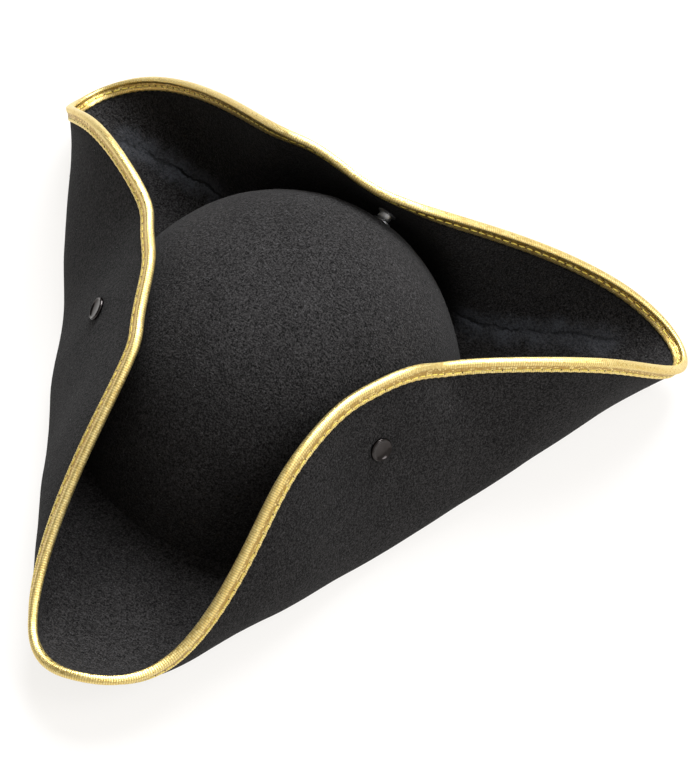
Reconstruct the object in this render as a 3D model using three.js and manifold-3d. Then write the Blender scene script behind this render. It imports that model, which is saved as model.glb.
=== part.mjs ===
import * as THREE from "three";
import { mergeVertices } from "three/addons/utils/BufferGeometryUtils.js";
import Module from "manifold-3d";

// Three-cornered hat in stiff black felt, brim flaps snapped up against the crown.
// Millimetres, +Z up, front corner towards -Y, the flat ring round the head opening on Z = 0.
// The pieces are built round the crown's axis; the whole is then centred over the origin.

// Felt, one thickness all over.
const FELT = 2.0;

// Crown: an oval dome whose wall leans in slightly.
const CROWN_WIDTH = 182;
const CROWN_LENGTH = 194;
const CROWN_HEIGHT = 105;
const CROWN_LEAN = 0.1;
const CROWN_FULLNESS = 2.6;

// Brim: the tip of a corner from the middle of the hat, the flat ring next to the crown,
// and how closely a section keeps to its fold.
const BRIM_REACH = 200;
const REST_RING = 4;
const FOLD_CLOSENESS = 0.66;

// Brim sections in order round the hat. turn: direction from the middle, degrees from +X.
// reach: the rim, 0 over the opening's edge and 1 at BRIM_REACH, below 0 where a flap
// leans in over the crown. rise: the rim, share of CROWN_HEIGHT. fold: where the section
// turns up, counted as reach is.
const SECTIONS = [
  { turn: -87, reach: 1, rise: 0.267, fold: 0.825 },
  { turn: -75, reach: 0.71, rise: 0.305, fold: 0.797 },
  { turn: -64, reach: 0.194, rise: 0.733, fold: 0.722 },
  { turn: -57, reach: 0.013, rise: 0.862, fold: 0.597 },
  { turn: -50, reach: -0.089, rise: 0.9, fold: 0.451 },
  { turn: -28, reach: -0.188, rise: 0.919, fold: 0.211 },
  { turn: -4, reach: -0.129, rise: 0.862, fold: 0.348 },
  { turn: 4, reach: -0.085, rise: 0.79, fold: 0.477 },
  { turn: 12, reach: 0.081, rise: 0.767, fold: 0.614 },
  { turn: 24, reach: 0.639, rise: 0.619, fold: 0.741 },
  { turn: 35, reach: 1.009, rise: 0.214, fold: 0.729 },
  { turn: 47, reach: 0.792, rise: 0.357, fold: 0.66 },
  { turn: 57, reach: 0.161, rise: 0.752, fold: 0.256 },
  { turn: 70, reach: -0.185, rise: 0.919, fold: 0.248 },
  { turn: 90, reach: -0.258, rise: 0.952, fold: 0.301 },
  { turn: 113, reach: -0.154, rise: 0.99, fold: 0.25 },
  { turn: 128, reach: 0.175, rise: 0.824, fold: 0.307 },
  { turn: 139, reach: 0.859, rise: 0.348, fold: 0.643 },
  { turn: 149, reach: 0.981, rise: 0.186, fold: 0.693 },
  { turn: 162, reach: 0.41, rise: 0.838, fold: 0.76 },
  { turn: 173, reach: -0.037, rise: 0.976, fold: 0.651 },
  { turn: 187, reach: -0.208, rise: 0.971, fold: 0.385 },
  { turn: 209, reach: -0.278, rise: 1, fold: 0.304 },
  { turn: 234, reach: -0.205, rise: 0.929, fold: 0.487 },
  { turn: 250, reach: 0.113, rise: 0.724, fold: 0.836 },
  { turn: 262, reach: 0.806, rise: 0.224, fold: 0.893 },
];

// Clear space between neighbouring pieces, and under the discs that sit on curved felt.
const GAP = 0.3;
const SEAT = 0.65;

// Gold tape folded over the rim: its width on each side, its thickness, the clear space
// to the felt, and the straight strip of felt it lies on.
const TAPE_WIDTH = 6;
const TAPE = 0.8;
const TAPE_EASE = 0.4;
const RIM_FLAT = 7;

// Press fasteners: a cap outside each flap, a socket inside it, a stud on the crown.
// FASTENER_LEVEL is their height, a share of CROWN_HEIGHT.
const FASTENER_LEVEL = 0.63;
const CAP_RADIUS = 5.8;
const CAP_THICKNESS = 1.7;
const CAP_DISH = 0.5;
const CAP_RIM = 1.3;
const POST_RADIUS = 2.0;
const POST_DEPTH = 0.9;
const SOCKET_RADIUS = 5.0;
const SOCKET_FLANGE = 0.9;
const BARREL_RADIUS = 3.4;
const STUD_RADIUS = 4.8;
const STUD_FLANGE = 0.9;
const STUD_NOSE = 1.4;
const SHANK_RADIUS = 1.5;
const WASHER_RADIUS = 4.0;
const WASHER = 0.8;
const FASTENERS = [
  { side: "right", turn: -28 },
  { side: "back", turn: 83 },
  { side: "left", turn: 208 },
];

// Fineness of the facets.
const COLUMNS = 96;
const CROWN_STEPS = 8;
const BRIM_STEPS = 6;
const ROUND_STEPS = 20;
const HOLE_STEPS = 16;
const RIM_SAMPLES = 1440;

// How late a brim column turns square to the rim.
const SQUARING = 6;

const rad = THREE.MathUtils.degToRad;
const polar = (turn, reach, z) =>
  new THREE.Vector3(reach * Math.cos(rad(turn)), reach * Math.sin(rad(turn)), z);

// A smooth closed curve through the values at the section turns.
function smoothRound(key) {
  const x = SECTIONS.map((row) => row.turn);
  const y = SECTIONS.map((row) => row[key]);
  const n = x.length;
  const step = x.map((_, i) => (i + 1 < n ? x[i + 1] - x[i] : x[0] + 360 - x[i]));
  const rate = y.map((_, i) => (y[(i + 1) % n] - y[i]) / step[i]);
  const slope = rate.slice();
  for (let pass = 0; pass < 60; pass += 1) {
    for (let i = 0; i < n; i += 1) {
      const before = (i + n - 1) % n;
      const after = (i + 1) % n;
      const pull = 3 * (step[i] * rate[before] + step[before] * rate[i]);
      const sides = step[i] * slope[before] + step[before] * slope[after];
      slope[i] = (pull - sides) / (2 * (step[before] + step[i]));
    }
  }
  return (turn) => {
    const t = x[0] + ((((turn - x[0]) % 360) + 360) % 360);
    let i = n - 1;
    while (x[i] > t) i -= 1;
    const u = (t - x[i]) / step[i];
    const next = (i + 1) % n;
    const start = y[i] * (1 + 2 * u) * (1 - u) ** 2 + slope[i] * step[i] * u * (1 - u) ** 2;
    const end = y[next] * u * u * (3 - 2 * u) - slope[next] * step[i] * u * u * (1 - u);
    return start + end;
  };
}

const rimReach = smoothRound("reach");
const rimRise = smoothRound("rise");
const foldReach = smoothRound("fold");

// Half the oval opening in one direction.
function openingReach(turn) {
  const across = Math.cos(rad(turn)) / (CROWN_WIDTH / 2);
  const along = Math.sin(rad(turn)) / (CROWN_LENGTH / 2);
  return 1 / Math.hypot(across, along);
}

// Share of the opening that is left at a share of the crown's height.
function crownShare(up) {
  const level = Math.min(Math.max(up, 0), 1);
  return (1 - CROWN_LEAN * level) * (1 - level ** CROWN_FULLNESS) ** (1 / CROWN_FULLNESS);
}

// Levels of the crown's rings, shares of its height from the foot up.
const LEVELS = Array.from({ length: CROWN_STEPS + 1 }, (_, i) =>
  Math.sin((Math.PI / 2) * (i / CROWN_STEPS)) ** (2 / CROWN_FULLNESS));

// The same share on the straight facets between two levels.
function facetShare(up) {
  const level = Math.min(Math.max(up, 0), 1);
  const i = Math.max(LEVELS.findIndex((top) => top >= level), 1);
  const part = (level - LEVELS[i - 1]) / (LEVELS[i] - LEVELS[i - 1]);
  return THREE.MathUtils.lerp(crownShare(LEVELS[i - 1]), crownShare(LEVELS[i]), part);
}

// Brim surface. Share 0 is the edge of the flat ring, 1 the rim.
function brimPoint(turn, share) {
  const base = openingReach(turn);
  const reachAt = (share) => THREE.MathUtils.lerp(base, BRIM_REACH, share);
  const fold = new THREE.Vector2(reachAt(foldReach(turn)), 0);
  const rim = new THREE.Vector2(reachAt(rimReach(turn)), rimRise(turn) * CROWN_HEIGHT);
  const ring = new THREE.Vector2(base + REST_RING, 0);
  const first = new THREE.Vector2(base, 0).lerp(fold, FOLD_CLOSENESS);
  const second = rim.clone().lerp(fold, FOLD_CLOSENESS);
  const at = new THREE.CubicBezierCurve(ring, first, second, rim).getPoint(share);
  return polar(turn, at.x, at.y);
}

// Directions spaced evenly along the rim.
function evenTurns() {
  const turns = [];
  const lengths = [0];
  const start = SECTIONS[0].turn;
  let last = null;
  for (let i = 0; i <= RIM_SAMPLES; i += 1) {
    const turn = start + (360 * i) / RIM_SAMPLES;
    const point = brimPoint(turn, 1);
    if (last) lengths.push(lengths[i - 1] + point.distanceTo(last));
    last = point;
    turns.push(turn);
  }
  const total = lengths[RIM_SAMPLES];
  const even = [];
  let i = 0;
  for (let column = 0; column < COLUMNS; column += 1) {
    const goal = (total * column) / COLUMNS;
    while (lengths[i + 1] < goal) i += 1;
    const share = (goal - lengths[i]) / (lengths[i + 1] - lengths[i]);
    even.push(turns[i] + share * (turns[i + 1] - turns[i]));
  }
  return even;
}

// Closed skin over rings of points. A ring of one point is a pole; a looped skin joins
// its last ring to its first. Crossed rings have their quads split the other way.
function skin(rings, { looped = false, crossed = [] } = {}) {
  const points = [];
  const starts = rings.map((ring) => {
    points.push(...ring);
    return points.length - ring.length;
  });
  const index = [];
  const count = looped ? rings.length : rings.length - 1;
  for (let i = 0; i < count; i += 1) {
    const next = (i + 1) % rings.length;
    for (let j = 0; j < COLUMNS; j += 1) {
      const k = (j + 1) % COLUMNS;
      const a = starts[i] + (rings[i].length > 1 ? j : 0);
      const b = starts[next] + (rings[next].length > 1 ? j : 0);
      const c = starts[next] + (rings[next].length > 1 ? k : 0);
      const d = starts[i] + (rings[i].length > 1 ? k : 0);
      if (rings[i].length === 1) index.push(a, b, c);
      else if (rings[next].length === 1) index.push(a, b, d);
      else if (crossed.includes(i)) index.push(a, b, d, b, c, d);
      else index.push(a, b, c, a, c, d);
    }
  }
  const geometry = new THREE.BufferGeometry();
  const flat = points.flatMap((point) => point.toArray());
  geometry.setAttribute("position", new THREE.Float32BufferAttribute(flat, 3));
  geometry.setIndex(index);
  return geometry;
}

// Middle of one brim column: it leaves the crown square, crosses the brim and meets the
// rim square, with a straight strip under the tape.
function brimColumn(start, end) {
  const nudge = 0.001;
  const rim = brimPoint(end, 1);
  const out = rim.clone().sub(brimPoint(end, 1 - nudge)).divideScalar(nudge);
  const round = brimPoint(end + nudge, 1).sub(rim).divideScalar(nudge);
  const drift = out.dot(round) / round.lengthSq();
  const square = out.clone().addScaledVector(round, -drift);
  const strip = RIM_FLAT / square.length();
  const shoulder = rim.clone().addScaledVector(square, -strip);
  const reach = 1 - strip;
  const meet = end + drift * strip;
  const points = [];
  for (let i = 0; i < BRIM_STEPS; i += 1) {
    const u = i / BRIM_STEPS;
    const blend = u * u * (3 - 2 * u);
    const turn = start + (meet - start) * blend + drift * reach * u ** SQUARING * (1 - u);
    points.push(brimPoint(turn, reach * u));
  }
  return [...points, shoulder, rim];
}

// Middle of the felt, ring by ring from the crown's top to the rim.
function feltRings() {
  const rimTurns = evenTurns();
  const turns = rimTurns.map((_, j) => rimTurns[0] + (360 * j) / COLUMNS);
  const rings = [];
  for (let i = CROWN_STEPS - 1; i >= 0; i -= 1) {
    const share = crownShare(LEVELS[i]);
    rings.push(turns.map((turn) => polar(turn, openingReach(turn) * share, CROWN_HEIGHT * LEVELS[i])));
  }
  const columns = turns.map((turn, j) => brimColumn(turn, rimTurns[j]));
  columns[0].forEach((_, i) => rings.push(columns.map((column) => column[i])));
  return { turns, rings };
}

// Unit side of the felt at each point; the crown's foot gets a mitred one.
function feltSides(turns, rings) {
  const foot = CROWN_STEPS - 1;
  const rim = rings.length - 1;
  const side = (i, j) => {
    const above = i === 0 ? new THREE.Vector3(0, 0, CROWN_HEIGHT) : rings[i - 1][j];
    const before = rings[i][(j + COLUMNS - 1) % COLUMNS];
    const after = rings[i][(j + 1) % COLUMNS];
    const down = rings[Math.min(i + 1, rim)][j].clone().sub(above);
    return down.cross(after.clone().sub(before)).normalize();
  };
  const sides = rings.map((ring, i) => ring.map((_, j) => side(i, j)));
  const up = new THREE.Vector3(0, 0, 1);
  turns.forEach((turn, j) => {
    const wall = polar(turn, 1, (CROWN_LEAN * openingReach(turn)) / CROWN_HEIGHT).normalize();
    sides[foot][j] = wall.clone().add(up).divideScalar(1 + wall.dot(up));
    sides[foot + 1][j] = up.clone();
    sides[rim - 1][j] = sides[rim][j];
  });
  return sides;
}

const shifted = (ring, sides, by) =>
  ring.map((point, j) => point.clone().addScaledVector(sides[j], by));

const raised = (geometry) => geometry.translate(0, 0, FELT / 2);

function feltSkin(rings, sides) {
  const top = (z) => [new THREE.Vector3(0, 0, z)];
  const over = rings.map((ring, i) => shifted(ring, sides[i], FELT / 2));
  const under = rings.map((ring, i) => shifted(ring, sides[i], -FELT / 2)).reverse();
  return skin([
    top(CROWN_HEIGHT + FELT / 2), ...over, ...under, top(CROWN_HEIGHT - FELT / 2),
  ]);
}

// Tape section in (inward from the rim, upward side) round the rim, as a looped skin.
function bindingSkin(rings, sides) {
  const near = FELT / 2 + TAPE_EASE;
  const far = near + TAPE;
  const nose = GAP + TAPE;
  const outline = [
    [TAPE_WIDTH, far], [0.4 * far, far], [-0.3 * nose, 0.75 * far], [-nose, 0.3 * far],
    [-nose, -0.3 * far], [-0.3 * nose, -0.75 * far], [0.4 * far, -far], [TAPE_WIDTH, -far],
    [TAPE_WIDTH, -near], [-GAP, -near], [-GAP, near], [TAPE_WIDTH, near],
  ];
  const rim = rings.length - 1;
  const inward = rings[rim].map((point, j) => rings[rim - 1][j].clone().sub(point).normalize());
  const loops = outline.map(([along, aside]) => rings[rim].map((point, j) =>
    point.clone().addScaledVector(inward[j], along).addScaledVector(sides[rim][j], aside)));
  return skin(loops, { looped: true, crossed: [8, 9, 10] });
}

// Where a fastener passes through a flap and the crown, and its direction outwards.
function fastenerSite(turn) {
  let low = 0.4;
  let high = 1;
  for (let pass = 0; pass < 40; pass += 1) {
    const middle = (low + high) / 2;
    if (brimPoint(turn, middle).z + FELT / 2 < FASTENER_LEVEL * CROWN_HEIGHT) low = middle;
    else high = middle;
  }
  const flap = brimPoint(turn, low);
  const nudge = 0.01;
  const rise = brimPoint(turn, low + nudge).sub(flap);
  const round = brimPoint(turn + 1, low).sub(flap);
  const flapSide = rise.cross(round).normalize().negate();
  const depth = (point) => {
    const direction = THREE.MathUtils.radToDeg(Math.atan2(point.y, point.x));
    const reach = openingReach(direction) * facetShare(point.z / CROWN_HEIGHT);
    return Math.hypot(point.x, point.y) - reach;
  };
  const meet = (axis) => {
    let near = 0;
    let past = 30;
    for (let pass = 0; pass < 40; pass += 1) {
      const middle = (near + past) / 2;
      if (depth(flap.clone().addScaledVector(axis, -middle)) > 0) near = middle;
      else past = middle;
    }
    return near;
  };
  const touch = flap.clone().addScaledVector(flapSide, -meet(flapSide));
  const change = (x, y, z) => depth(touch.clone().add(new THREE.Vector3(x, y, z))) - depth(touch);
  const crownSide = new THREE.Vector3(change(1, 0, 0), change(0, 1, 0), change(0, 0, 1)).normalize();
  const axis = flapSide.clone().add(crownSide).normalize();
  return { flap, axis, span: meet(axis) };
}

// Turns a piece made round its own Y axis onto the fastener's axis.
function onAxis(geometry, site) {
  const up = new THREE.Vector3(0, 1, 0);
  geometry.applyQuaternion(new THREE.Quaternion().setFromUnitVectors(up, site.axis));
  return raised(geometry.translate(site.flap.x, site.flap.y, site.flap.z));
}

const turned = (profile, site) =>
  onAxis(new THREE.LatheGeometry(profile.map(([r, s]) => new THREE.Vector2(r, s)), ROUND_STEPS), site);

function capProfile() {
  const foot = FELT / 2 + SEAT;
  const top = foot + CAP_THICKNESS;
  const end = -foot - POST_DEPTH;
  return [
    [0, end], [POST_RADIUS, end], [POST_RADIUS, foot], [CAP_RADIUS - 0.3, foot],
    [CAP_RADIUS, foot + 0.4 * CAP_THICKNESS], [CAP_RADIUS - 0.5 * CAP_RIM, top],
    [CAP_RADIUS - CAP_RIM, top - CAP_DISH], [0, top - CAP_DISH],
  ];
}

function socketProfile(span) {
  const bore = POST_RADIUS + GAP;
  const top = -FELT / 2 - SEAT;
  const end = STUD_FLANGE + SEAT + FELT / 2 + GAP - span;
  return [
    [bore, end], [BARREL_RADIUS, end], [BARREL_RADIUS, top - SOCKET_FLANGE],
    [SOCKET_RADIUS, top - SOCKET_FLANGE], [SOCKET_RADIUS, top], [bore, top], [bore, end],
  ];
}

function studProfile(span) {
  const seat = SEAT + FELT / 2 - span;
  const top = seat + STUD_FLANGE;
  const inside = -span - FELT / 2 - SEAT;
  return [
    [0, inside - WASHER], [WASHER_RADIUS, inside - WASHER], [WASHER_RADIUS, inside],
    [SHANK_RADIUS, inside], [SHANK_RADIUS, seat], [STUD_RADIUS, seat], [STUD_RADIUS, top],
    [POST_RADIUS, top], [POST_RADIUS, top + STUD_NOSE], [0, top + STUD_NOSE],
  ];
}

const wasm = await Module();
wasm.setup();

// Closed solid of a geometry, corners joined by position alone.
function solidOf(geometry) {
  const bare = geometry.clone();
  Object.keys(bare.attributes).forEach((key) => key !== "position" && bare.deleteAttribute(key));
  const joined = mergeVertices(bare, 1e-4);
  const index = joined.index.array;
  const whole = [];
  for (let i = 0; i < index.length; i += 3) {
    const [a, b, c] = [index[i], index[i + 1], index[i + 2]];
    if (a !== b && b !== c && c !== a) whole.push(a, b, c);
  }
  return new wasm.Manifold(new wasm.Mesh({
    numProp: 3,
    vertProperties: Float32Array.from(joined.attributes.position.array),
    triVerts: Uint32Array.from(whole),
  }));
}

function geometryOf(solid) {
  const mesh = solid.getMesh();
  const geometry = new THREE.BufferGeometry();
  geometry.setAttribute("position", new THREE.BufferAttribute(Float32Array.from(mesh.vertProperties), 3));
  geometry.setIndex([...mesh.triVerts]);
  return geometry;
}

// Round cutter across one felt wall of a fastener.
function holeCutter(site, radius, middle) {
  const length = 2 * (FELT + SEAT);
  const cylinder = new THREE.CylinderGeometry(radius, radius, length, HOLE_STEPS);
  return solidOf(onAxis(cylinder.translate(0, middle, 0), site));
}

const FINISHES = {
  felt: { color: 0x17171a, roughness: 0.95, metalness: 0 },
  tape: { color: 0xd0a548, roughness: 0.35, metalness: 0.85 },
  cap: { color: 0x303034, roughness: 0.3, metalness: 0.9 },
  plated: { color: 0xb8babd, roughness: 0.25, metalness: 1 },
};

const hat = new THREE.Group();

function addPiece(name, geometry, finish) {
  geometry.computeVertexNormals();
  const mesh = new THREE.Mesh(geometry, new THREE.MeshStandardMaterial(FINISHES[finish]));
  mesh.name = name;
  hat.add(mesh);
}

const { turns, rings } = feltRings();
const sides = feltSides(turns, rings);
const sites = FASTENERS.map(({ side, turn }) => ({ side, ...fastenerSite(turn) }));

const holes = sites.flatMap((site) => [
  holeCutter(site, POST_RADIUS + GAP, 0),
  holeCutter(site, SHANK_RADIUS + GAP, -site.span),
]);
const body = holes.reduce((solid, hole) => solid.subtract(hole), solidOf(raised(feltSkin(rings, sides))));

addPiece("felt_body", geometryOf(body), "felt");
addPiece("edge_binding", raised(bindingSkin(rings, sides)), "tape");
sites.forEach((site) => {
  addPiece(`${site.side}_cap`, turned(capProfile(), site), "cap");
  addPiece(`${site.side}_socket`, turned(socketProfile(site.span), site), "plated");
  addPiece(`${site.side}_stud`, turned(studProfile(site.span), site), "plated");
});

const middle = new THREE.Box3().setFromObject(hat).getCenter(new THREE.Vector3());
hat.children.forEach((mesh) => mesh.position.set(-middle.x, -middle.y, 0));

export default hat;
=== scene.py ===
import math

import bpy
import numpy as np
from bpy.props import FloatProperty, IntProperty, PointerProperty
from mathutils import Matrix, Vector


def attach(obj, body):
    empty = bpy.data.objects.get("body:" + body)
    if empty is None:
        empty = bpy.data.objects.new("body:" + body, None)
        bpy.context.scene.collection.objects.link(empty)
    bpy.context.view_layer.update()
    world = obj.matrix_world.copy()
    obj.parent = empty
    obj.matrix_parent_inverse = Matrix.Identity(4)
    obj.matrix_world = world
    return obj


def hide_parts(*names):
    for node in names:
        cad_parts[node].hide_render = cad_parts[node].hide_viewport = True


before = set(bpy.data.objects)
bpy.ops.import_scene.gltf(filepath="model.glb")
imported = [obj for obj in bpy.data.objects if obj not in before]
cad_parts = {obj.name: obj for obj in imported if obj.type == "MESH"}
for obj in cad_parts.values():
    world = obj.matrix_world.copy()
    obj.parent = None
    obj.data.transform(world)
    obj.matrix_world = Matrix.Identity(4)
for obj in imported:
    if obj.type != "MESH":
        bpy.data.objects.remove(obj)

bl_info = {
    "name": "Felt Tricorn Hat",
    "version": (1, 0, 0),
    "blender": (4, 5, 0),
    "location": "View3D > Sidebar > Tricorn",
    "description": "Builds a three-cornered felt hat with a gold taped rim and press fasteners",
    "category": "Add Mesh",
}

MM = 0.001

# Felt and crown, millimetres. The crown's wall leans in by a share, and the fullness is
# the power that rounds its outline off.
FELT = 2.0
CROWN_WIDTH, CROWN_LENGTH, CROWN_HEIGHT = 182.0, 194.0, 105.0
CROWN_LEAN, CROWN_FULLNESS = 0.1, 2.6

# Brim: the reach counted as 1 and the flat ring's width, millimetres, and how closely a
# section keeps to its fold.
BRIM_REACH, REST_RING, FOLD_CLOSENESS = 200.0, 4.0, 0.66

# Press fasteners: directions in degrees, height as a share of CROWN_HEIGHT, the rest in
# millimetres. CAP_SNUG and SNUG are what is left under the cap and the other discs.
FASTENERS = {"right": -28.0, "back": 83.0, "left": 208.0}
FASTENER_LEVEL = 0.63
GAP, SEAT, CAP_SNUG, SNUG = 0.3, 0.65, 0.12, 0.15
POST_RADIUS, POST_DEPTH = 2.0, 0.9
BARREL_RADIUS, SOCKET_RADIUS = 3.4, 5.0
STUD_RADIUS, STUD_FLANGE, STUD_RISE = 4.8, 0.9, 1.4
SHANK_RADIUS, WASHER_RADIUS, WASHER = 1.5, 4.0, 0.8

# Brim sections round the hat. turn: direction, degrees. reach: the rim, 0 over the
# opening's edge and 1 at BRIM_REACH. rise: the rim, share of CROWN_HEIGHT. fold: where the
# section turns up, counted as reach is.
SECTIONS = [
    # turn, reach, rise, fold
    (-87, 1, 0.267, 0.825),
    (-75, 0.71, 0.305, 0.797),
    (-64, 0.194, 0.733, 0.722),
    (-57, 0.013, 0.862, 0.597),
    (-50, -0.089, 0.9, 0.451),
    (-28, -0.188, 0.919, 0.211),
    (-4, -0.129, 0.862, 0.348),
    (4, -0.085, 0.79, 0.477),
    (12, 0.081, 0.767, 0.614),
    (24, 0.639, 0.619, 0.741),
    (35, 1.009, 0.214, 0.729),
    (47, 0.792, 0.357, 0.66),
    (57, 0.161, 0.752, 0.256),
    (70, -0.185, 0.919, 0.248),
    (90, -0.258, 0.952, 0.301),
    (113, -0.154, 0.99, 0.25),
    (128, 0.175, 0.824, 0.307),
    (139, 0.859, 0.348, 0.643),
    (149, 0.981, 0.186, 0.693),
    (162, 0.41, 0.838, 0.76),
    (173, -0.037, 0.976, 0.651),
    (187, -0.208, 0.971, 0.385),
    (209, -0.278, 1, 0.304),
    (234, -0.205, 0.929, 0.487),
    (250, 0.113, 0.724, 0.836),
    (262, 0.806, 0.224, 0.893),
]

# Pressed-in fold lines on the brim: (turn, share of the way out to the rim), how deep and
# wide each is in millimetres, and how much it shows in the felt's colour, both as rubbed wear
# and as shade painted along its crack.
CREASES = [
    {"line": [(62, 0.3), (61.3, 0.34), (57.7, 0.36), (55.2, 0.335), (52.8, 0.36), (51.2, 0.37),
              (49.8, 0.415), (48, 0.465), (46.3, 0.52), (44.8, 0.58), (43.2, 0.67), (41.8, 0.735)],
     "depth": 0.35, "width": 1.6, "wear_and_shade": 1.0},
    {"line": [(146.5, 0.72), (144.8, 0.67), (143.2, 0.6), (141.8, 0.565), (140.3, 0.51),
              (138.5, 0.485), (135.7, 0.444), (133.2, 0.45), (131.2, 0.425), (127.5, 0.39)],
     "depth": 0.35, "width": 1.6, "wear_and_shade": 1.0},
    {"line": [(209.5, 0.5), (208.6, 0.55), (210.2, 0.62), (210.9, 0.69), (212.1, 0.77)],
     "depth": 0.4, "width": 2.2, "wear_and_shade": 0.3},
]
# The banks beside a crease, as shares of its depth and its width. Its depth on the felt's
# other side, as a share, and the reach of its wear and painted shade. Its patches: mean,
# change, spacing, seed.
BANK_HEIGHT, BANK_PLACE, BANK_WIDTH = 0.42, 2.4, 1.3
CREASE_BEHIND, CREASE_REACH, NO_CREASE = 0.45, 20.0, 99.0
CREASE_PATCHES = (0.65, 0.45, 7.0, 23)

# Rings lie this much closer beside the two long creases, over this share of the way out
# and this many degrees past their ends.
LONG_CREASES = CREASES[:2]
CROWDING, CROWDED_SHARE, CROWDED_TURN = 6, 0.035, 6

# Unevenness of pressed felt, and the distances from the rim, the rest ring and a fastener
# over which it comes in, millimetres.
WAVES = [
    # height, spacing, seed
    (0.32, 26, 3),
    (0.14, 11, 5),
]
RIM_CALM, FOOT_CALM, FASTENER_CALM = (7, 22), (5, 16), (7, 16)

# Fineness of curves, searches, lines and grids. The crown's lowest ring is a share of its
# height.
ROUNDS, HALVINGS = 60, 40
RIM_SAMPLES, SHARE_SAMPLES, STITCH_LINE_POINTS = 7200, 600, 1200
LOWEST_RING = 0.012

# Sections of the folded tape on its two sides: (inward from the rim, out from the felt's
# middle). The side towards the crown has a deep groove beside its bead.
TAPE_INNER = [
    (6.0, 1.1), (5.92, 1.62), (5.4, 1.84), (4.5, 1.86), (3.6, 1.7), (3.1, 1.48), (2.6, 1.5),
    (2.0, 1.26), (1.5, 1.3), (1.1, 1.9), (0.4, 2.16), (-0.5, 1.85), (-1.05, 0.7),
]
TAPE_OUTER = [
    (-1.05, -0.7), (-0.5, -1.85), (0.3, -2.18), (1.2, -2.12), (2.1, -1.84), (2.7, -1.6),
    (3.4, -1.66), (4.0, -1.6), (4.4, -1.42), (4.8, -1.66), (5.4, -1.86), (5.92, -1.66), (6.0, -1.1),
]
TAPE_LINING = [(6.0, -1.06), (-0.3, -1.06), (-0.3, 1.06), (6.0, 1.06)]
# How far in from the rim the two seams and the band lie, millimetres; the band is painted
# dark brown as a reflection of dark surroundings.
INNER_STITCHES, OUTER_STITCHES = 3.1, 4.4
TAPE_BAND = (1.3, 4.3)
# Repeats of the tape's ribs, strands and stitches. Ribs begin at a distance from the felt's
# middle, scallops at one from the rim. The felt under the tape is followed in steps.
RIB_PITCH, STRAND_PITCH, STITCH_PITCH = 1.15, 0.55, 4.9
RIBBED_FROM, SCALLOPED_FROM = 1.2, 5.7
STRIP_DEPTH, STRIP_STEPS = 8.0, 16

# Noise in the felt's colour and relief.
FELT_NOISES = {
    # cells in a metre, detail, roughness
    "grain": (1300.0, 2.0, 0.6),
    "clumps": (760.0, 3.0, 0.65),
    "patches": (34.0, 3.0, 0.55),
    "broken": (95.0, 2.0, 0.5),
    "long_jags": (140.0, 2.0, 0.5),
    "short_jags": (430.0, 3.0, 0.65),
}
SPECKS = 800.0

# The photograph's camera, found with the hat's rim and crown: degrees and millimetres, in
# the crown's own frame.
CAMERA = {"azimuth": 22.436, "elevation": 52.063, "roll": 8.077, "distance": 2000.0,
          "right": 38.70, "up": 11.10, "lens": 212.96}
CROWN_AXIS = (1.905, 33.259)
OFFSET = np.array([CROWN_AXIS[0], CROWN_AXIS[1], FELT / 2])


def periodic(column):
    """A smooth closed curve through one column of SECTIONS, as a function of degrees."""
    x = np.array([row[0] for row in SECTIONS], float)
    y = np.array([row[column] for row in SECTIONS], float)
    step = np.append(np.diff(x), x[0] + 360 - x[-1])
    rate = (np.roll(y, -1) - y) / step
    slope = rate.copy()
    count = len(x)
    for _ in range(ROUNDS):
        for i in range(count):
            before, after = (i - 1) % count, (i + 1) % count
            pull = 3 * (step[i] * rate[before] + step[before] * rate[i])
            sides = step[i] * slope[before] + step[before] * slope[after]
            slope[i] = (pull - sides) / (2 * (step[before] + step[i]))

    def at(turn):
        t = x[0] + np.mod(np.asarray(turn, float) - x[0], 360)
        i = np.clip(np.searchsorted(x, t, side="right") - 1, 0, count - 1)
        j = (i + 1) % count
        u = (t - x[i]) / step[i]
        start = y[i] * (1 + 2 * u) * (1 - u) ** 2 + slope[i] * step[i] * u * (1 - u) ** 2
        return start + y[j] * u * u * (3 - 2 * u) - slope[j] * step[i] * u * u * (1 - u)

    return at


RIM_REACH, RIM_RISE, FOLD_REACH = (periodic(column) for column in (1, 2, 3))


def polar(turn, reach, z):
    angle = np.radians(turn)
    x, y, z = np.broadcast_arrays(reach * np.cos(angle), reach * np.sin(angle), z)
    return np.stack([x, y, z], axis=-1)


def opening_reach(turn):
    angle = np.radians(turn)
    return 1 / np.hypot(np.cos(angle) / (CROWN_WIDTH / 2), np.sin(angle) / (CROWN_LENGTH / 2))


def crown_share(up):
    level = np.clip(up, 0, 1)
    return (1 - CROWN_LEAN * level) * (1 - level ** CROWN_FULLNESS) ** (1 / CROWN_FULLNESS)


def brim_point(turn, share):
    """Middle of the brim's felt: share 0 at the flat ring, 1 at the rim."""
    base = opening_reach(turn)
    fold, reach = (base + (BRIM_REACH - base) * curve(turn) for curve in (FOLD_REACH, RIM_REACH))
    rise = RIM_RISE(turn) * CROWN_HEIGHT
    near = base + (fold - base) * FOLD_CLOSENESS
    high = reach + (fold - reach) * FOLD_CLOSENESS
    left = 1 - share
    a, b, c, d = left ** 3, 3 * left ** 2 * share, 3 * left * share ** 2, share ** 3
    out = a * (base + REST_RING) + b * near + c * high + d * reach
    return polar(turn, out, c * rise * (1 - FOLD_CLOSENESS) + d * rise)


def brim_slopes(turn, share):
    """How the brim point moves with its share and with its turn."""
    nudge = 1e-4
    along = (brim_point(turn, share) - brim_point(turn, share - nudge)) / nudge
    round_ = (brim_point(turn + nudge, share) - brim_point(turn - nudge, share)) / (2 * nudge)
    return along, round_


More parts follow.
